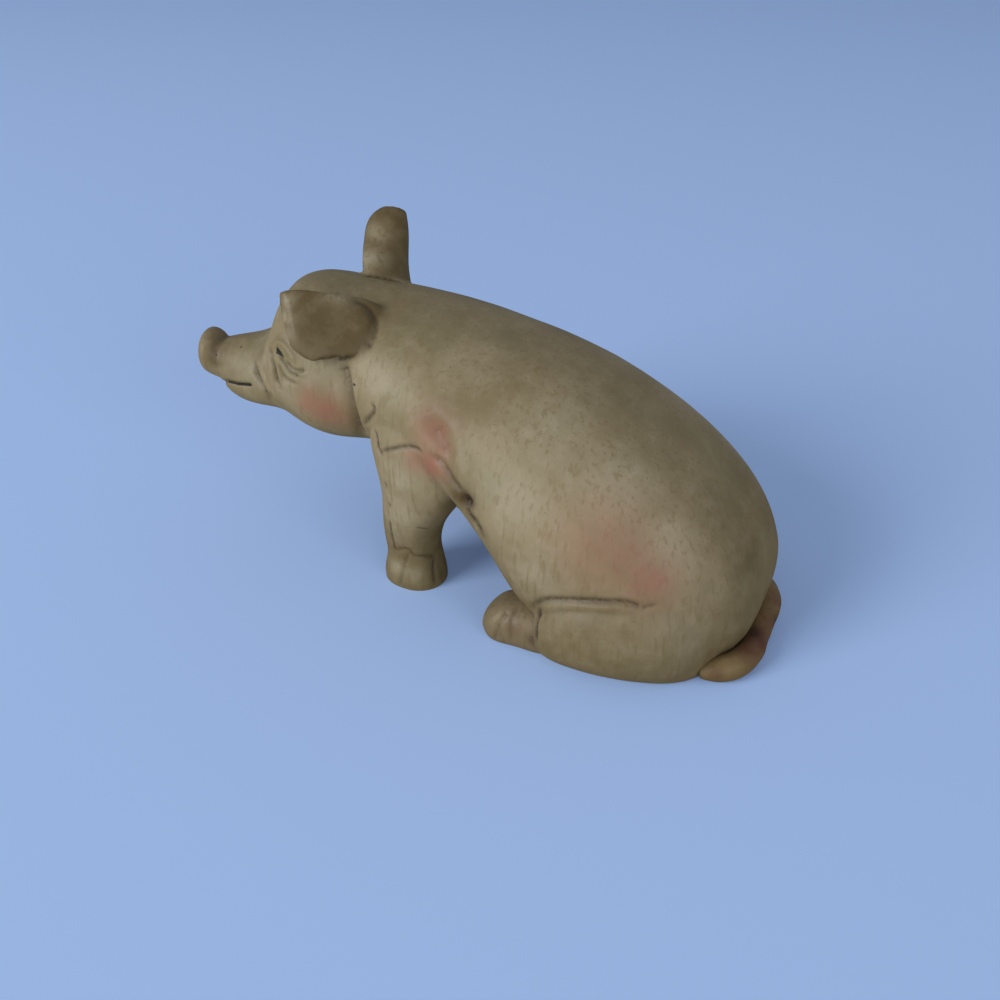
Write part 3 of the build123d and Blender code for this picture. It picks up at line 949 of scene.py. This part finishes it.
def work_body(clay):
    """Seams, folds and hoof lines of the trunk and legs, and the pit darkened as painted shade behind each
    foreleg, on both flanks.
    """
    for pixels, *line in BODY_LINES.values():
        path = clay.trace_path(pixels)
        clay.work_line(path, *line)
        clay.work_line(clay.snapped(mirrored(path)), *line)
    pixel, *pit = ARMPIT_PIT_AND_SHADE
    hole = clay.trace(pixel)
    for centre in (hole, mirrored(hole)):
        clay.dimple(centre, *pit)


def work_ears(clay):
    """Lobe and root lines of the ears."""
    for pixels, *line in EAR_LINES.values():
        clay.work_line(clay.trace_path(pixels), *line)


def colour_skin(clay, ear_tone_and_shade):
    """Blush, brown wash and spots of wear, with painted light and shade, on both sides; the stain with
    painted shade behind the near ear; and brown wash with painted shade on upward skin and low down.
    """
    for layer, spots in SKIN_SPOTS.items():
        for pixel, radius, strength in spots:
            centre = clay.trace(pixel)[None]
            mirror = other_cheek if centre[0, 1] < HEAD_TURN_STARTS else mirrored
            clay.dab(layer, centre[0], radius, strength)
            clay.dab(layer, mirror(centre)[0], radius, strength)
    pixels, half_width = EAR_STAIN_AND_SHADE
    near, distance, _ = clay.along(clay.trace_path(pixels), half_width * 2)
    ear_tone_and_shade[near] = np.maximum(ear_tone_and_shade[near], np.exp(-((distance / half_width) ** 2)))
    height = clay.verts[:, 2]
    flat, level = TOP_SHADE_AND_WASH_SLOPE
    # Brown wash with painted shade: darker on upward skin and low down near the floor.
    top = TOP_SHADE_AND_WASH * np.clip((clay.normals[:, 2] - flat) / (level - flat), 0, 1) * (height > LOW_SHADE_AND_WASH_TOP)
    low = LOW_SHADE_AND_WASH * np.clip((LOW_SHADE_AND_WASH_TOP - height) / LOW_SHADE_AND_WASH_TOP * 2, 0, 1)
    clay.stain("wash", np.maximum.reduce([ear_tone_and_shade, top, low]))


def head_strokes(clay):
    """Painted marks of the head, on both sides."""
    strokes = []
    for first, second, half_width, paint in HEAD_STROKES:
        ends = np.array([clay.trace(first), clay.trace(second)])
        strokes.append((*ends, half_width, paint))
        strokes.append((*clay.snapped(other_cheek(ends)), half_width, paint))
    return strokes


def pig_clay():
    """The castings cut from one worked skin of trunk, head, shanks, forelegs and ears."""
    if CLAY:
        return CLAY
    body, shank, leg = body_rings(), shank_rings(), foreleg_rings()
    ears = {"left_ear": ear_rings(LEFT_EAR_SECTIONS), "right_ear": ear_rings(RIGHT_EAR_SECTIONS)}
    clay = Clay([body, shank, mirrored(shank), leg, mirrored(leg), *ears.values()], PIG_SMOOTHING)
    body_tree = surface_tree(body)
    fields = {}
    ear_tone_and_shade = np.zeros(len(clay.verts))
    for name, rings in ears.items():
        near = within(clay.verts, rings.reshape(-1, 3), EAR_ROOM)
        off_body = nearest_distance(body_tree, clay.verts[near], BODY_SEARCH)
        on_ear = EAR_SKIN - np.abs(nearest_distance(surface_tree(rings), clay.verts[near], EAR_SEARCH))
        fields[name] = np.full(len(clay.verts), -EAR_SEARCH)
        fields[name][near] = np.minimum(off_body - EAR_SEAM, on_ear)
        tone = np.clip(np.minimum(off_body, on_ear) + EAR_TONE_START, 0, 1)
        ear_tone_and_shade[near] = np.maximum(ear_tone_and_shade[near], tone)
    fields["left_foreleg"] = leg_field(clay.verts, 1)
    fields["right_foreleg"] = leg_field(clay.verts, -1)
    fields["trunk"] = clay.verts[:, 1] - NECK_SEAM
    clay.soften_joins()
    for size, amount in KNEADING:
        clay.knead(size, amount)
    work_head(clay)
    work_body(clay)
    work_ears(clay)
    clay.refresh()
    colour_skin(clay, ear_tone_and_shade)
    clay.relax(1, LAST_SMOOTHING)
    CLAY["strokes"] = head_strokes(clay)
    rest = on_floor(clay).shape(**fields)
    for name in fields:
        CLAY[name], rest = cut(rest, rest[2][name][:, 0])
    CLAY["head"] = rest
    return CLAY


class Wires:
    """Short way to add and link the nodes of one tree."""

    def __init__(self, tree):
        self.tree = tree

    def add(self, kind, inputs=(), **settings):
        """New node; inputs are pairs of a socket's name or number and a value or a socket."""
        node = self.tree.nodes.new(kind)
        for key, value in settings.items():
            setattr(node, key, value)
        for key, value in inputs:
            if isinstance(value, bpy.types.NodeSocket):
                self.link(value, node.inputs[key])
            else:
                node.inputs[key].default_value = value
        return node

    def link(self, source, socket):
        """Join two sockets."""
        self.tree.links.new(source, socket)

    def calc(self, operation, *values, clamp=False):
        """Result of a math node."""
        return self.add("ShaderNodeMath", enumerate(values), operation=operation, use_clamp=clamp).outputs[0]

    def times(self, *values, clamp=False):
        """Product of two values."""
        return self.calc("MULTIPLY", *values, clamp=clamp)

    def plus(self, *values, clamp=False):
        """Sum of two values."""
        return self.calc("ADD", *values, clamp=clamp)

    def step(self, value, low, high, top=1.0):
        """Value eased from 0 at low to top at high."""
        inputs = (("Value", value), ("From Min", low), ("From Max", high), ("To Max", top))
        return self.add("ShaderNodeMapRange", inputs, interpolation_type="SMOOTHSTEP").outputs[0]

    def blend(self, share, first, second):
        """Colour between two colours."""
        inputs = (("Factor", share), ("A", first), ("B", second))
        return self.add("ShaderNodeMix", inputs, data_type="RGBA").outputs["Result"]

    def noise(self, place, scale, detail, roughness):
        """Value of a noise texture."""
        inputs = (("Vector", place), ("Scale", scale), ("Detail", detail), ("Roughness", roughness))
        return self.add("ShaderNodeTexNoise", inputs).outputs[0]

    def vector(self, operation, first, second, output="Vector"):
        """Result of a vector math node."""
        inputs = ((0, first), (1, second))
        return self.add("ShaderNodeVectorMath", inputs, operation=operation).outputs[output]


def new_group(name, inputs, outputs):
    """Shader node group with named sockets: its wires and its two ends."""
    tree = bpy.data.node_groups.new(name, "ShaderNodeTree")
    for label, kind, value in inputs:
        socket = tree.interface.new_socket(label, in_out="INPUT", socket_type="NodeSocket" + kind)
        socket.default_value = value
    for label, kind in outputs:
        tree.interface.new_socket(label, in_out="OUTPUT", socket_type="NodeSocket" + kind)
    wires = Wires(tree)
    return wires, wires.add("NodeGroupInput").outputs, wires.add("NodeGroupOutput").inputs


def aged_paint_group():
    """Hand-brushed paint: patches, mottle, upright brush marks, specks and settled wash, with the painted
    light and shade that the layers hold.
    """
    if "aged_paint" in bpy.data.node_groups:
        return bpy.data.node_groups["aged_paint"]
    paints = ("Main", "Shade", "Moss", "Chalk", "Blush", "Wash", "Dirt")
    inputs = [(paint, "Color", (0, 0, 0, 1)) for paint in paints]
    inputs += [("Place", "Vector", (0, 0, 0)), ("Specks", "Float", SPECKS), ("Streaks", "Float", STREAKS)]
    outputs = (("Colour", "Color"), ("Roughness", "Float"), ("Height", "Float"))
    wires, given, result = new_group("aged_paint", inputs, outputs)
    layer = {name: wires.add("ShaderNodeAttribute", attribute_name=name).outputs["Fac"] for name in LAYERS}
    places = dict.fromkeys(PAINT_NOISE, given["Place"])
    places["moss"] = wires.vector("ADD", given["Place"], MOSS_OFFSET)
    places["streaks"] = wires.vector("MULTIPLY", given["Place"], STREAK_STRETCH)
    noises = {name: wires.noise(places[name], *values) for name, values in PAINT_NOISE.items()}
    mask = {name: wires.step(noises[source], *limits) for name, (source, *limits) in PAINT_MASKS.items()}
    brushed = wires.times(mask["brushed"], given["Streaks"])
    specks = wires.times(wires.times(mask["specks"], mask["gate"]), given["Specks"])
    blush, wash, crease = (
        wires.times(layer[name], wires.plus(base, mask[name]), clamp=True)
        for name, base in LAYER_BASE.items()
    )
    red_streaks = wires.times(brushed, wires.times(layer["blush"], STREAKS_IN_BLUSH))
    wash_kept = wires.calc("SUBTRACT", 1.0, wires.times(layer["worn"], WORN_AND_LIT_OVER_WASH))
    coats = (
        (mask["shaded"], "Shade"),
        (mask["mossy"], "Moss"),
        (wires.plus(wires.times(layer["worn"], WORN_AND_LIT_FADE), mask["faded"], clamp=True), "Chalk"),
        (mask["dimmed"], "Shade"),
        (brushed, "Shade"),
        (wires.plus(blush, red_streaks, clamp=True), "Blush"),
        (wires.times(wash, wash_kept), "Wash"),
        (crease, "Dirt"),
        (specks, "Dirt"),
    )
    colour = given["Main"]
    for share, paint in coats:
        colour = wires.blend(share, colour, given[paint])
    height = wires.times(specks, -SPECK_PIT)
    for name, share in RELIEF:
        height = wires.plus(height, wires.times(noises[name], share))
    wires.link(colour, result["Colour"])
    wires.link(wires.plus(LEAST_ROUGHNESS, mask["rough"]), result["Roughness"])
    wires.link(height, result["Height"])
    return wires.tree


def stroke_group():
    """Mask of one short brush stroke between two places."""
    if "brush_stroke" in bpy.data.node_groups:
        return bpy.data.node_groups["brush_stroke"]
    inputs = [(name, "Vector", (0, 0, 0)) for name in ("Place", "Start", "End")]
    inputs += [("Half Width", "Float", 0.0), ("Softness", "Float", STROKE_SOFTNESS_M)]
    wires, given, result = new_group("brush_stroke", inputs, (("Mask", "Float"),))
    width, softness = given["Half Width"], given["Softness"]
    run = wires.vector("SUBTRACT", given["End"], given["Start"])
    away = wires.vector("SUBTRACT", given["Place"], given["Start"])
    along, length = (wires.vector("DOT_PRODUCT", first, run, "Value") for first in (away, run))
    share = wires.calc("DIVIDE", along, length, clamp=True)
    foot = wires.add("ShaderNodeVectorMath", ((0, run), ("Scale", share)), operation="SCALE")
    ragged = wires.times(wires.noise(given["Place"], *STROKE_NOISE), softness)
    distance = wires.plus(wires.vector("DISTANCE", away, foot.outputs["Vector"], "Value"), ragged)
    edge = wires.plus(wires.plus(width, softness), softness)
    wires.link(wires.calc("SUBTRACT", 1.0, wires.step(distance, width, edge)), result["Mask"])
    return wires.tree


def new_material(name):
    """Material with its wires and the inputs of its shader."""
    material = bpy.data.materials.new(name)
    material.use_nodes = True
    return material, Wires(material.node_tree), material.node_tree.nodes["Principled BSDF"].inputs


def painted(name, main, strokes=(), streaks=STREAKS):
    """Matt painted resin; strokes are two places in mm, a half width in mm and a paint."""
    paints = bpy.context.scene.pig_paints
    colours = {"Main": main, "Shade": paints.shade, "Moss": paints.moss, "Chalk": paints.chalk}
    colours |= {"Blush": paints.blush, "Wash": paints.ear, "Dirt": paints.dirt}
    if main != paints.cream:
        colours |= {label: [part * share for part in main] for label, share in TINTS}
        colours["Blush"] = paints.rust
    material, wires, shader = new_material(name)
    place = wires.add("ShaderNodeTexCoord").outputs["Object"]
    inputs = {label: (*colour, 1) for label, colour in colours.items()} | {"Place": place, "Streaks": streaks}
    group = wires.add("ShaderNodeGroup", inputs.items(), node_tree=aged_paint_group()).outputs
    colour = group["Colour"]
    for start, end, half_width, paint in strokes:
        ends = {"Place": place, "Start": start * MM, "End": end * MM, "Half Width": half_width * MM}
        stroke = wires.add("ShaderNodeGroup", ends.items(), node_tree=stroke_group())
        colour = wires.blend(stroke.outputs["Mask"], colour, (*getattr(paints, paint), 1))
    relief = (("Strength", BUMP_STRENGTH), ("Distance", BUMP_DISTANCE_M), ("Height", group["Height"]))
    wires.link(colour, shader["Base Color"])
    wires.link(group["Roughness"], shader["Roughness"])
    wires.link(wires.add("ShaderNodeBump", relief).outputs[0], shader["Normal"])
    shader["Specular IOR Level"].default_value = PAINT_SHEEN
    return material


def floor_paint(colour, bounce):
    """Plain matt floor, paler blue where the camera sees it."""
    material, wires, shader = new_material("floor_paint")
    seen = wires.add("ShaderNodeLightPath").outputs["Is Camera Ray"]
    wires.link(wires.blend(seen, (*bounce, 1), (*colour, 1)), shader["Base Color"])
    wires.link(seen, shader["Emission Strength"])
    shader["Roughness"].default_value = FLOOR_ROUGHNESS
    shader["Specular IOR Level"].default_value = 0.0
    shader["Emission Color"].default_value = FLOOR_LIFT
    return material


def finish_piece(node, shape, slot, paint, **looks):
    """Make and paint the piece that stands for a casting."""
    piece = make_object(node + "_skin", shape)
    main = getattr(bpy.context.scene.pig_paints, paint)
    piece.data.materials.append(painted(node + "_paint", main, **looks))
    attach(piece, "root")
    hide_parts(node)


def foot_clay(side):
    """One hind foot, worked by the marks that the photograph shows on the left one."""
    flip = np.array([side, 1.0, 1.0])
    marked = Clay([foot_rings()], SMALL_SMOOTHING)
    clay = marked if side > 0 else Clay([foot_rings() * flip], SMALL_SMOOTHING)
    for pixels, *line in FOOT_LINES.values():
        clay.work_line(marked.trace_path(pixels) * flip, *line)
    for layer, pixel, radius, strength in FOOT_SPOTS:
        clay.dab(layer, marked.trace(pixel) * flip, radius, strength)
    return on_floor(clay)


def tail_clay():
    """The tail, slightly uneven."""
    clay = Clay([tail_rings()], SMALL_SMOOTHING)
    clay.knead(*TAIL_KNEADING)
    for layer, pixel, radius, strength in TAIL_SPOTS:
        clay.dab(layer, clay.trace(pixel), radius, strength)
    return on_floor(clay)


def on_floor(clay):
    """The clay kept inside the box of the solids, with its underside flat on the floor."""
    low, high = np.array(CAD_BOX) / MM
    clay.verts = np.clip(clay.verts, low + BOX_MARGIN, high - BOX_MARGIN)
    clay.verts[:, 2] = np.where(clay.verts[:, 2] <= BOX_MARGIN, 0, clay.verts[:, 2])
    clay.refresh()
    clay.stain("crease", np.clip(clay.hollowness() * CREASE_SHARPNESS, 0, 1))
    return clay


class PigOperator:
    bl_options = {"REGISTER", "UNDO"}


class PIG_OT_trunk(PigOperator, bpy.types.Operator):
    """Trunk with its haunches and hind shanks"""
    bl_idname = "pig.trunk"
    bl_label = "Trunk"

    def execute(self, context):
        finish_piece("trunk", pig_clay()["trunk"], "cream_paint", "cream")
        return {"FINISHED"}


class PIG_OT_head(PigOperator, bpy.types.Operator):
    """Head with its snout, eyes and folds"""
    bl_idname = "pig.head"
    bl_label = "Head"

    def execute(self, context):
        clay = pig_clay()
        finish_piece("head", clay["head"], "cream_paint", "cream", strokes=clay["strokes"])
        return {"FINISHED"}


class PIG_OT_ears(PigOperator, bpy.types.Operator):
    """Both ears"""
    bl_idname = "pig.ears"
    bl_label = "Ears"

    def execute(self, context):
        for node in ("left_ear", "right_ear"):
            finish_piece(node, pig_clay()[node], "ear_paint", "cream", streaks=EAR_STREAKS)
        return {"FINISHED"}


class PIG_OT_forelegs(PigOperator, bpy.types.Operator):
    """Both forelegs with their hooves"""
    bl_idname = "pig.forelegs"
    bl_label = "Forelegs"

    def execute(self, context):
        for node in ("left_foreleg", "right_foreleg"):
            finish_piece(node, pig_clay()[node], "cream_paint", "cream")
        return {"FINISHED"}


class PIG_OT_hind_feet(PigOperator, bpy.types.Operator):
    """Both hind feet with their hooves"""
    bl_idname = "pig.hind_feet"
    bl_label = "Hind feet"

    def execute(self, context):
        for node, side in (("left_hind_foot", 1), ("right_hind_foot", -1)):
            finish_piece(node, foot_clay(side).shape(), "hoof_paint", "hoof")
        return {"FINISHED"}


class PIG_OT_tail(PigOperator, bpy.types.Operator):
    """Tail curled round beside the rump"""
    bl_idname = "pig.tail"
    bl_label = "Tail"

    def execute(self, context):
        finish_piece("tail", tail_clay().shape(), "tail_paint", "tail")
        return {"FINISHED"}


class PIG_OT_stage(PigOperator, bpy.types.Operator):
    """Floor, lights and camera"""
    bl_idname = "pig.stage"
    bl_label = "Stage"

    def execute(self, context):
        context.scene.view_settings.view_transform = "Standard"
        make_floor(context.scene.pig_paints)
        make_lights(context.scene.pig_sizes.light_reach)
        make_camera()
        return {"FINISHED"}


def make_floor(paints):
    """Wide plain floor."""
    mesh = bpy.data.meshes.new("floor")
    corners = ((-1, -1), (1, -1), (1, 1), (-1, 1))
    mesh.from_pydata([(x * FLOOR_HALF_M, y * FLOOR_HALF_M, 0) for x, y in corners], [], [(0, 1, 2, 3)])
    mesh.materials.append(floor_paint(paints.floor, paints.bounce))
    floor = add_object("floor", mesh)


def make_lights(reach):
    """Soft key light from the pig's front left, a weak one from its rear left and a dim even sky."""
    world = bpy.data.worlds.new("sky")
    world.use_nodes = True
    background = world.node_tree.nodes["Background"].inputs
    background["Color"].default_value = SKY_COLOUR
    background["Strength"].default_value = SKY_STRENGTH
    bpy.context.scene.world = world
    for name, (way, power, side) in LAMPS.items():
        lamp = bpy.data.lights.new(name, "AREA")
        lamp.size = side
        lamp.energy = power
        light = add_object(name, lamp)
        way = Vector(way).normalized()
        light.location = way * reach
        light.rotation_euler = way.to_track_quat("Z", "Y").to_euler()


def make_camera():
    """Camera at the photograph's viewing angle."""
    data = bpy.data.cameras.new("camera")
    data.sensor_width = SENSOR_MM
    data.lens = LENS_MM
    camera = add_object("camera", data)
    camera.location = Vector(CAMERA_PLACE_MM) * MM
    camera.rotation_euler = (math.radians(90 - CAMERA_DIP), 0, math.radians(CAMERA_TURN))
    bpy.context.scene.camera = camera


class PIG_PT_panel(bpy.types.Panel):
    bl_label = "Sitting pig"
    bl_idname = "PIG_PT_panel"
    bl_space_type = "VIEW_3D"
    bl_region_type = "UI"
    bl_category = "Pig"

    def draw(self, context):
        for group in (context.scene.pig_sizes, context.scene.pig_paints):
            for name in group.__annotations__:
                self.layout.prop(group, name)
        for operator in OPERATORS:
            self.layout.operator(operator.bl_idname)


OPERATORS = (
    PIG_OT_trunk,
    PIG_OT_head,
    PIG_OT_ears,
    PIG_OT_forelegs,
    PIG_OT_hind_feet,
    PIG_OT_tail,
    PIG_OT_stage,
)
CLASSES = (PigSizes, PigPaints, *OPERATORS, PIG_PT_panel)


def register():
    for cls in CLASSES:
        bpy.utils.register_class(cls)
    bpy.types.Scene.pig_sizes = bpy.props.PointerProperty(type=PigSizes)
    bpy.types.Scene.pig_paints = bpy.props.PointerProperty(type=PigPaints)


def unregister():
    del bpy.types.Scene.pig_paints
    del bpy.types.Scene.pig_sizes
    for cls in reversed(CLASSES):
        bpy.utils.unregister_class(cls)


def main():
    """Make every piece and the stage."""
    register()
    for name in ("trunk", "head", "ears", "forelegs", "hind_feet", "tail", "stage"):
        getattr(bpy.ops.pig, name)()
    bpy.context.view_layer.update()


if __name__ == "__main__":
    main()
